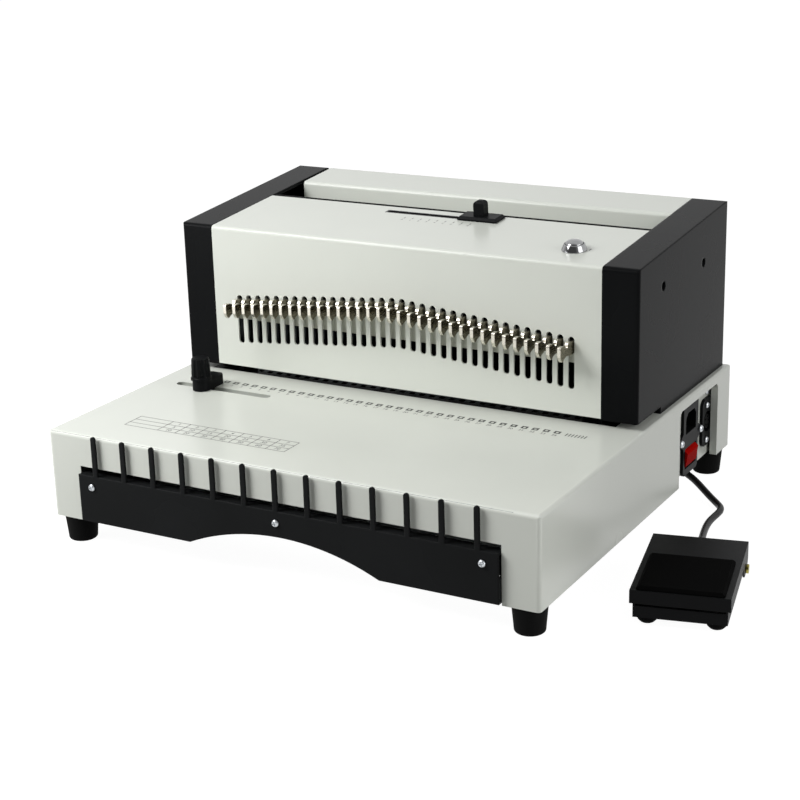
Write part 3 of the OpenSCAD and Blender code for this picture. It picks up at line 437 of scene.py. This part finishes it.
# %% PVC jacket
jacket, tree, shader, place = new_finish("pvc_jacket_black")
drift = add(tree, "TexNoise", {"Vector": place, "Scale": 1000 / 25, "Detail": 3.0})
tint = add(tree, "Mix", {0: drift.outputs[0], 6: linear("#0B0B0C"), 7: linear("#121213")}, data_type="RGBA")
gloss = add(tree, "MapRange", {0: drift.outputs[0], "To Min": 0.34, "To Max": 0.48})
wave = add(tree, "TexNoise", {"Vector": place, "Scale": 1000 / 2.5, "Detail": 2.0})
skin = add(tree, "Bump", {"Strength": 0.3, "Distance": 0.00006, "Height": wave.outputs[0]})
wire(shader, {"Base Color": tint.outputs[2], "Roughness": gloss.outputs[0], "Normal": skin.outputs[0]})
wire(shader, {"Specular IOR Level": 0.2})
cord.data.materials.append(jacket)
print("made", jacket.name)

# %% [markdown]
# ## Nickel on the pull tabs
# The tabs are stamped from drawn strip and nickel plated, and their sides keep the drawn lines of the
# strip. Their colour is painted light: the edges are lighter, a painted highlight, and the flat sides a
# dull warm grey, a painted reflection of the dark tabs beside them. A noise stretched along the strip makes
# the lines, 0.7 mm wide, which is coarser than real ones, so that they show. The direction of a face tells
# sides from edges, so one finish serves both.

# %% Nickel plate
nickel, tree, shader, place = new_finish("nickel_plate_stamped")
strip = add(tree, "Mapping", {"Vector": place, "Scale": (1.0, 0.12, 1.0)})
lines = add(tree, "TexNoise", {"Vector": strip.outputs[0], "Scale": 1000 / 0.7, "Detail": 3.0})
stain = add(tree, "TexNoise", {"Vector": place, "Scale": 1000 / 9, "Detail": 3.0})
# Painted light: the face's direction picks a painted highlight on the edges and a painted darker reflection
# on the sides.
face = add(tree, "SeparateXYZ", {0: add(tree, "TexCoord").outputs["Normal"]})
side_shade_share = add(tree, "Math", {0: face.outputs["X"]}, operation="ABSOLUTE")
side_shade_and_stain = add(tree, "Mix", {0: stain.outputs[0], 6: linear("#7C7665"), 7: linear("#9A9382")}, data_type="RGBA")
tint = add(tree, "Mix", {0: side_shade_share.outputs[0], 6: linear("#D9D5C9"), 7: side_shade_and_stain.outputs[2]}, data_type="RGBA")
gloss = add(tree, "MapRange", {0: lines.outputs[0], "To Min": 0.18, "To Max": 0.38})
skin = add(tree, "Bump", {"Strength": 0.2, "Distance": 0.00003, "Height": lines.outputs[0]})
wire(shader, {"Base Color": tint.outputs[2], "Metallic": 1.0, "Roughness": gloss.outputs[0]})
wire(shader, {"Normal": skin.outputs[0]})
print("made", nickel.name)

# %% [markdown]
# ## Zinc on the small steel parts
# Screws and spring wire are zinc plated, which gives a bright grey with a slight blue cast and cloudy
# patches. One noise of 3 mm makes the patches in colour, gloss and skin alike, as they come from the same
# bath.

# %% Zinc plate
zinc, tree, shader, place = new_finish("zinc_plate_bright")
stain = add(tree, "TexNoise", {"Vector": place, "Scale": 1000 / 3, "Detail": 4.0})
tint = add(tree, "Mix", {0: stain.outputs[0], 6: linear("#AEB3B8"), 7: linear("#D3D6D8")}, data_type="RGBA")
gloss = add(tree, "MapRange", {0: stain.outputs[0], "To Min": 0.22, "To Max": 0.38})
skin = add(tree, "Bump", {"Strength": 0.2, "Distance": 0.00002, "Height": stain.outputs[0]})
wire(shader, {"Base Color": tint.outputs[2], "Metallic": 1.0, "Roughness": gloss.outputs[0]})
wire(shader, {"Normal": skin.outputs[0]})
print("made", zinc.name)

# %% [markdown]
# ## Chrome on the button
# Button and bezel are polished and chromed: almost a mirror, with only a haze of wiping marks. The marks
# are too fine to show one by one, so a noise of 2 mm stands for the haze that they make together.

# %% Chrome plate
chrome, tree, shader, place = new_finish("chrome_plate_polished")
haze = add(tree, "TexNoise", {"Vector": place, "Scale": 1000 / 2, "Detail": 5.0})
tint = add(tree, "Mix", {0: haze.outputs[0], 6: linear("#909192"), 7: linear("#AAABAC")}, data_type="RGBA")
gloss = add(tree, "MapRange", {0: haze.outputs[0], "To Min": 0.03, "To Max": 0.10})
skin = add(tree, "Bump", {"Strength": 0.05, "Distance": 0.00002, "Height": haze.outputs[0]})
wire(shader, {"Base Color": tint.outputs[2], "Metallic": 1.0, "Roughness": gloss.outputs[0]})
wire(shader, {"Normal": skin.outputs[0]})
print("made", chrome.name)

# %% [markdown]
# ## Blued tool steel
# The punching tool is ground and then blued with hot oxide, so pins and yokes are dark with fine parallel
# grinding marks. A noise stretched along the machine's width makes them. Real ones are far finer than the
# 0.9 mm drawn here, and would not show.

# %% Blued steel
blued, tree, shader, place = new_finish("tool_steel_blued")
wheel = add(tree, "Mapping", {"Vector": place, "Scale": (0.05, 1.0, 1.0)})
marks = add(tree, "TexNoise", {"Vector": wheel.outputs[0], "Scale": 1000 / 0.9, "Detail": 3.0})
stain = add(tree, "TexNoise", {"Vector": place, "Scale": 1000 / 22, "Detail": 4.0})
tint = add(tree, "Mix", {0: stain.outputs[0], 6: linear("#2B2D30"), 7: linear("#45474A")}, data_type="RGBA")
gloss = add(tree, "MapRange", {0: marks.outputs[0], "To Min": 0.30, "To Max": 0.48})
skin = add(tree, "Bump", {"Strength": 0.25, "Distance": 0.00003, "Height": marks.outputs[0]})
wire(shader, {"Base Color": tint.outputs[2], "Metallic": 1.0, "Roughness": gloss.outputs[0]})
wire(shader, {"Normal": skin.outputs[0]})
print("made", blued.name)

# %% [markdown]
# ## Galvanised sheet
# Floor plate, chip drawer and stop bar are galvanised sheet: zinc freezes on it in flat crystals about a
# centimetre across, the spangle, each with its own grey. Voronoi cells of 10 mm have just that look, and
# a fine noise adds the marks of the rollers.

# %% Galvanised steel
galvanised, tree, shader, place = new_finish("steel_sheet_galvanised")
spangle = add(tree, "TexVoronoi", {"Vector": place, "Scale": 1000 / 10, "Randomness": 1.0})
shade = add(tree, "RGBToBW", {0: spangle.outputs["Color"]})
tint = add(tree, "Mix", {0: shade.outputs[0], 6: linear("#9EA3A4"), 7: linear("#C6C9C8")}, data_type="RGBA")
gloss = add(tree, "MapRange", {0: shade.outputs[0], "To Min": 0.28, "To Max": 0.46})
roll_marks = add(tree, "TexNoise", {"Vector": place, "Scale": 1000 / 1.5, "Detail": 3.0})
skin = add(tree, "Bump", {"Strength": 0.15, "Distance": 0.00003, "Height": roll_marks.outputs[0]})
wire(shader, {"Base Color": tint.outputs[2], "Metallic": 1.0, "Roughness": gloss.outputs[0]})
wire(shader, {"Normal": skin.outputs[0]})
print("made", galvanised.name)

# %% [markdown]
# ## Enamel on the press beam
# The bar behind the slots is cast, with a pale stove enamel on its front, thick enough to run soft over
# small pits. Its pockets, seen through the slots, are painted shade: what lies behind the front face takes
# a dark colour by its place, so the bar needs no second slot.

# %% Pale enamel
ENAMEL_BACK_MM = 174.5
pale_enamel, tree, shader, place = new_finish("stove_enamel_pale")
drift = add(tree, "TexNoise", {"Vector": place, "Scale": 1000 / 40, "Detail": 4.0})
tint = add(tree, "Mix", {0: drift.outputs[0], 6: linear("#BFC1B5"), 7: linear("#CDCFC5")}, data_type="RGBA")
gloss = add(tree, "MapRange", {0: drift.outputs[0], "To Min": 0.26, "To Max": 0.38})
pits = add(tree, "TexNoise", {"Vector": place, "Scale": 1000 / 3, "Detail": 2.0})
skin = add(tree, "Bump", {"Strength": 0.25, "Distance": 0.00006, "Height": pits.outputs[0]})
# Painted shade: behind the front face the bar is dark, for the shadow inside the slots.
depth = add(tree, "SeparateXYZ", {0: place})
limit = at(0, ENAMEL_BACK_MM, 0).y
pocket_shade = add(tree, "Math", {0: depth.outputs["Y"], 1: limit}, operation="GREATER_THAN")
cast = add(tree, "Mix", {0: pocket_shade.outputs[0], 6: tint.outputs[2], 7: linear("#141413")}, data_type="RGBA")
wire(shader, {"Base Color": cast.outputs[2], "Roughness": gloss.outputs[0], "Normal": skin.outputs[0]})
print("made", pale_enamel.name)

# %% [markdown]
# ## Enamel on the motor
# Gear box and motor are castings under a dark grey enamel. The sand of the mould leaves a coarse skin
# that the enamel can't hide, so the shine breaks up. A noise of 2 mm makes the skin.

# %% Motor enamel
motor_enamel, tree, shader, place = new_finish("motor_enamel_grey")
drift = add(tree, "TexNoise", {"Vector": place, "Scale": 1000 / 25, "Detail": 4.0})
tint = add(tree, "Mix", {0: drift.outputs[0], 6: linear("#26292B"), 7: linear("#34373A")}, data_type="RGBA")
gloss = add(tree, "MapRange", {0: drift.outputs[0], "To Min": 0.32, "To Max": 0.50})
cast = add(tree, "TexNoise", {"Vector": place, "Scale": 1000 / 2, "Detail": 3.0})
skin = add(tree, "Bump", {"Strength": 0.4, "Distance": 0.00008, "Height": cast.outputs[0]})
wire(shader, {"Base Color": tint.outputs[2], "Roughness": gloss.outputs[0], "Normal": skin.outputs[0]})
print("made", motor_enamel.name)

# %% [markdown]
# ## Brass on the pedal's pin
# The heads of the hinge pin are turned brass with a brown tarnish in patches. Where it lies, the metal is
# darker and duller, so one noise of 4 mm drives colour, gloss and skin.

# %% Turned brass
brass, tree, shader, place = new_finish("brass_turned")
tarnish = add(tree, "TexNoise", {"Vector": place, "Scale": 1000 / 4, "Detail": 4.0})
patches = {0: tarnish.outputs[0], 6: linear("#7C7434"), 7: linear("#B4AA60")}
tint = add(tree, "Mix", patches, data_type="RGBA")
gloss = add(tree, "MapRange", {0: tarnish.outputs[0], "To Min": 0.20, "To Max": 0.38})
skin = add(tree, "Bump", {"Strength": 0.15, "Distance": 0.00002, "Height": tarnish.outputs[0]})
wire(shader, {"Base Color": tint.outputs[2], "Metallic": 1.0, "Roughness": gloss.outputs[0]})
wire(shader, {"Normal": skin.outputs[0]})
print("made", brass.name)

# %% [markdown]
# ## Lacquer on the circuit board
# The board has copper tracks under a green lacquer, so they show as paler lines. The joints of a brick
# pattern turn at right angles, as tracks do. They keep a real width of about 0.3 mm, because the board is
# hidden inside the base.

# %% Board lacquer
board_lacquer, tree, shader, place = new_finish("circuit_board_lacquer")
tracks = add(tree, "TexBrick", {"Vector": place, "Scale": 1000 / 5, "Mortar Size": 0.06})
wire(tracks, {"Color1": linear("#1C4630"), "Color2": linear("#1F4D35"), "Mortar": linear("#3F7A4E")})
dust = add(tree, "TexNoise", {"Vector": place, "Scale": 1000 / 12, "Detail": 4.0})
gloss = add(tree, "MapRange", {0: dust.outputs[0], "To Min": 0.24, "To Max": 0.42})
skin = add(tree, "Bump", {"Strength": 0.3, "Distance": 0.00006, "Height": tracks.outputs["Fac"]})
wire(shader, {"Base Color": tracks.outputs["Color"], "Roughness": gloss.outputs[0]})
wire(shader, {"Normal": skin.outputs[0]})
print("made", board_lacquer.name)

# %% [markdown]
# ## Dressing the solids
# Each solid has one material slot, named in the record. Going by that slot name gives every solid its
# finish in one pass. Two solids are set after it: the pedal's pad shares its slot with the feet but not
# their rubber, and the die's front edge is painted together with the table, so the die takes the pale
# coat, whose painted shade darkens it in the throat.

# %% Finishes onto the solids
FINISH = {
    "shell_paint": pale_coat,
    "cap_black": satin_blacks["powder_coat_satin_black"],
    "rack_black": satin_blacks["powder_coat_worn_black"],
    "pedal_black": wrinkle_coat,
    "plastic_black": black_abs,
    "rocker_red": red_abs,
    "rubber_black": rubbers["rubber_moulded_black"],
    "tab_nickel": nickel,
    "zinc": zinc,
    "chrome": chrome,
    "tool_steel": blued,
    "sheet_steel": galvanised,
    "pale_bar": pale_enamel,
    "motor_grey": motor_enamel,
    "brass": brass,
    "board_green": board_lacquer,
}
bare = []
for name, solid in nodes.items():
    slot = solid.material_slots[0]
    known = slot.material.name.split(".")[0] if slot.material else ""
    if known in FINISH:
        slot.material = FINISH[known]
    else:
        bare.append((name, known))
nodes["pedal_pad"].material_slots[0].material = rubbers["rubber_pad_black"]
nodes["die_plate"].material_slots[0].material = pale_coat
print("dressed", len(nodes) - len(bare), "solids, bare:", bare)

# %% [markdown]
# ## The pedal's spring
# A compression spring of zinc plated wire lifts the tread again after each stroke. Its end turns lie
# close, so that it stands flat, and the turns between them are open. The CAD solid is only its outline,
# so a ring of points, moved along a helix, makes the wire here. The spring stands on the tray.

# %% Wire of the spring
WIRE_R = 0.0006
COIL_R = 0.0061
OPEN_TURNS = 5
CLOSED_TURNS = 2
CLOSED_PITCH = 2.1 * WIRE_R
STEPS = 24
SIDES = 8
low, high = (Vector(corner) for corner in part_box("pedal_spring"))
foot = Vector(((low.x + high.x) / 2, (low.y + high.y) / 2, low.z))
open_pitch = (high.z - low.z - 2 * WIRE_R - CLOSED_TURNS * CLOSED_PITCH) / OPEN_TURNS
angles = [math.tau * k / SIDES for k in range(SIDES)]
wound = bmesh.new()
rings = []
for i in range((OPEN_TURNS + CLOSED_TURNS) * STEPS + 1):
    turns = i / STEPS
    open_turns = min(max(turns - CLOSED_TURNS / 2, 0), OPEN_TURNS)
    rise = WIRE_R + open_turns * open_pitch + (turns - open_turns) * CLOSED_PITCH
    outward = Vector((math.cos(math.tau * turns), math.sin(math.tau * turns), 0))
    centre = foot + outward * COIL_R + Vector((0, 0, rise))
    rim = [centre + WIRE_R * (outward * math.cos(a) + Vector((0, 0, math.sin(a)))) for a in angles]
    rings.append([wound.verts.new(p) for p in rim])
for here, ahead in zip(rings, rings[1:]):
    for k in range(SIDES):
        wound.faces.new((here[k - 1], here[k], ahead[k], ahead[k - 1])).smooth = True
wound.faces.new(rings[0])
wound.faces.new(rings[-1])
bmesh.ops.recalc_face_normals(wound, faces=wound.faces)
print("spring wire has", len(rings), "rings")

# %% Spring in the pedal
spring_mesh = bpy.data.meshes.new("pedal_coil_spring")
wound.to_mesh(spring_mesh)
wound.free()
spring_mesh.materials.append(zinc)
spring = bpy.data.objects.new("pedal_coil_spring", spring_mesh)
bpy.context.scene.collection.objects.link(spring)
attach(spring, "machine")
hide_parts("pedal_spring")
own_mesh(spring)
print("spring has", OPEN_TURNS + CLOSED_TURNS, "turns and", len(spring_mesh.polygons), "faces")

# %% [markdown]
# ## Soft edges
# CAD edges are perfectly sharp, but folded sheet, paint, castings and mouldings all have a small radius
# that catches a line of light. A bevel on the solid's own edges gives that line. First a weld joins the
# mesh's split seams and a limited dissolve takes out the flat faces' inner edges, so that the bevel sees
# only real ones. Weighted normals then keep the flat faces flat.

# %% Edge radii in millimetres
SOFT_MM = {
    "end_cap_left": 2.0, "end_cap_right": 2.0, "head_cover": 0.35, "rear_cover": 0.8, "base_shell": 0.35,
    "wire_rack": 0.35, "edge_guide": 0.6, "edge_knob": 0.4, "margin_slider": 0.45, "power_inlet": 0.45,
    "pedal_socket": 0.4, "rocker_switch": 0.35, "pedal_tread": 0.7, "pedal_base": 0.5, "pedal_pad": 0.5,
    "feet": 0.5, "pedal_feet": 0.4, "screws": 0.15, "punch_button": 0.2, "button_bezel": 0.2,
    "press_beam": 0.3, "chip_drawer": 0.4, "trough_trim": 0.3, "cord_gland": 0.4, "pedal_gland": 0.4,
    "connector_panel": 0.3, "pull_tabs_fixed_row": 0.3, "gear_motor": 0.5, "pedal_pin": 0.2,
}
SOFT_MM.update({f"pull_tab_{i}": 0.3 for i in range(25, 35)})
print("radii for", len(SOFT_MM), "solids")

# %% Soft edges onto the solids
WELD_REACH = 0.00001
FLAT_ANGLE = 0.01
SHARP_ANGLE = 0.6
for name, radius in SOFT_MM.items():
    solid = nodes[name]
    weld = solid.modifiers.new("weld", "WELD")
    weld.merge_threshold = WELD_REACH
    flat = solid.modifiers.new("flat", "DECIMATE")
    flat.decimate_type = "DISSOLVE"
    flat.angle_limit = FLAT_ANGLE
    soft = solid.modifiers.new("soft", "BEVEL")
    soft.width = radius / 1000
    soft.segments = 2
    soft.limit_method = "ANGLE"
    soft.angle_limit = SHARP_ANGLE
    soft.use_clamp_overlap = True
    even = solid.modifiers.new("even", "WEIGHTED_NORMAL")
    even.keep_sharp = True
print("softened", len(SOFT_MM), "solids")

# %% [markdown]
# ## Screen printed scales
# The paint carries thin dark screen print: a square in front of every punch, a row of small numbers, a
# short ruler, a ruled table at the front, and margin marks by the slider. Ink lies on the paint as a
# film, so each print is one flat mesh a few hundredths of a millimetre above it. Strokes are plain
# rectangles, and the numbers come from Blender's own font turned to mesh.

# %% Ink
ink, tree, shader, place = new_finish("screen_print_ink")
wear = add(tree, "TexNoise", {"Vector": place, "Scale": 1000 / 3, "Detail": 4.0})
tint = add(tree, "Mix", {0: wear.outputs[0], 6: linear("#1E1F1F"), 7: linear("#343635")}, data_type="RGBA")
gloss = add(tree, "MapRange", {0: wear.outputs[0], "To Min": 0.40, "To Max": 0.55})
wire(shader, {"Base Color": tint.outputs[2], "Roughness": gloss.outputs[0]})
print("made", ink.name)

# %% Places on the table and on the head
FILM_MM = 0.03
TABLE_TOP_MM = 86.0
HEAD_FRONT_MM = 170
HEAD_TOP_MM = 202.3
HEAD_SLOPE = math.tan(math.radians(4.4))


def table_place(x, y):
    return at(x, y, TABLE_TOP_MM + FILM_MM)


def head_place(x, y):
    return at(x, y, HEAD_TOP_MM + HEAD_SLOPE * (y - HEAD_FRONT_MM) + FILM_MM)


print("ink lies", FILM_MM, "mm above the paint")

# %% Strokes, numbers and printed pieces
# The font's digits are 0.70 of its size high.
DIGIT_SHARE = 0.70


def stroke(film, x0, y0, x1, y1, place_of):
    corners = [(x0, y0), (x1, y0), (x1, y1), (x0, y1)]
    film.faces.new([film.verts.new(place_of(*c)) for c in corners])


def number(film, body, x, y, height, place_of):
    letters = bpy.data.curves.new("number", "FONT")
    letters.body = body
    letters.size = height / DIGIT_SHARE
    letters.align_x = "CENTER"
    letters.align_y = "CENTER"
    holder = bpy.data.objects.new("number", letters)
    shape = holder.to_mesh()
    for vertex in shape.vertices:
        vertex.co = place_of(x + vertex.co.x, y + vertex.co.y)
    film.from_mesh(shape)
    holder.to_mesh_clear()
    bpy.data.objects.remove(holder)
    bpy.data.curves.remove(letters)


def print_piece(name, film):
    mesh = bpy.data.meshes.new(name)
    film.to_mesh(mesh)
    film.free()
    mesh.materials.append(ink)
    piece = bpy.data.objects.new(name, mesh)
    bpy.context.scene.collection.objects.link(piece)
    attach(piece, "machine")
    print(name, "has", len(mesh.polygons), "faces")


# %% [markdown]
# ### Squares and numbers in front of the punches
# Each punch has an open square on the table in front of it and its number below, so that holes can be
# counted. Four strokes make a square. The pen is broader than a printed line, which would fade out at
# this distance.

# %% Punch marks
PUNCHES = 34
PITCH = 25.4 / 3
SQUARE_Y = 147.0
SQUARE_HALF = 2.4
PEN = 1.35
COUNT_Y = 140.8
COUNT_HEIGHT = 2.9
front = SQUARE_Y - SQUARE_HALF
rear = SQUARE_Y + SQUARE_HALF
film = bmesh.new()
for i in range(PUNCHES):
    x = (i - (PUNCHES - 1) / 2) * PITCH
    x0 = x - SQUARE_HALF
    x1 = x + SQUARE_HALF
    stroke(film, x0, front, x1, front + PEN, table_place)
    stroke(film, x0, rear - PEN, x1, rear, table_place)
    stroke(film, x0, front + PEN, x0 + PEN, rear - PEN, table_place)
    stroke(film, x1 - PEN, front + PEN, x1, rear - PEN, table_place)
    number(film, str(i + 1), x, COUNT_Y, COUNT_HEIGHT, table_place)
print_piece("print_punch_marks", film)

# %% [markdown]
# ### Ruler
# At the right of the squares a few strokes make a short ruler for the edge of the sheet. They too are
# broader than printed ones, so that they show.

# %% Ruler at the right of the punches
RULER_X = 147.4
RULER_STEP = 2.4
RULER_STROKES = 7
RULER_PEN = 0.8
RULER_FRONT = 142.4
RULER_REAR = 148.0
film = bmesh.new()
for i in range(RULER_STROKES):
    x = RULER_X + RULER_STEP * i
    stroke(film, x - RULER_PEN / 2, RULER_FRONT, x + RULER_PEN / 2, RULER_REAR, table_place)
print_piece("print_ruler", film)

# %% [markdown]
# ### Ruled table
# At the front of the table top a ruled table holds three rows of plain numbers, which count by one, five
# and ten. Its first column is nearly twice as wide as the others. Long strokes rule it, and the numbers
# stand in the middles of its cells.

# %% Ruled table at the front
RULES_Y = (31.6, 38.2, 45.0, 51.8)
RULES_X = [-150.5] + [-121.5 + 15.4 * i for i in range(8)]
RULE_HALF = 0.28
ROW_Y = {1: 48.4, 5: 41.6, 10: 34.9}
ROW_HEIGHT = 3.4
film = bmesh.new()
for y in RULES_Y:
    stroke(film, RULES_X[0], y - RULE_HALF, RULES_X[-1], y + RULE_HALF, table_place)
for x in RULES_X:
    stroke(film, x - RULE_HALF, RULES_Y[0], x + RULE_HALF, RULES_Y[-1], table_place)
for i in range(1, len(RULES_X) - 1):
    middle = (RULES_X[i] + RULES_X[i + 1]) / 2
    for count_by, y in ROW_Y.items():
        number(film, str(count_by * i), middle, y, ROW_HEIGHT, table_place)
print_piece("print_table", film)

# %% [markdown]
# ### Margin marks
# Nine numbered strokes along the slider's slot show how far the margin stop stands from the punches, and
# one more stroke marks the button. They lie on the head's top, which rises to the back.

# %% Margin marks by the slider
MARKS = 9
MARK_X = -27
MARK_STEP = 7
MARK_HALF = 0.3
MARK_FRONT = 231.5
MARK_REAR = 234.5
MARK_NUMBER_Y = 228.4
MARK_NUMBER_HEIGHT = 2.4
BUTTON_MARK = (139.2, 200.7, 139.9, 204.7)
film = bmesh.new()
for i in range(MARKS):
    x = MARK_X + MARK_STEP * i
    stroke(film, x - MARK_HALF, MARK_FRONT, x + MARK_HALF, MARK_REAR, head_place)
    number(film, str(i), x, MARK_NUMBER_Y, MARK_NUMBER_HEIGHT, head_place)
stroke(film, *BUTTON_MARK, head_place)
print_piece("print_margin_marks", film)

# %% [markdown]
# ## The end
# A last update of the view layer sets every object in place. The visual model may not grow out of
# the CAD model's box.

# %% The end
bpy.context.view_layer.update()
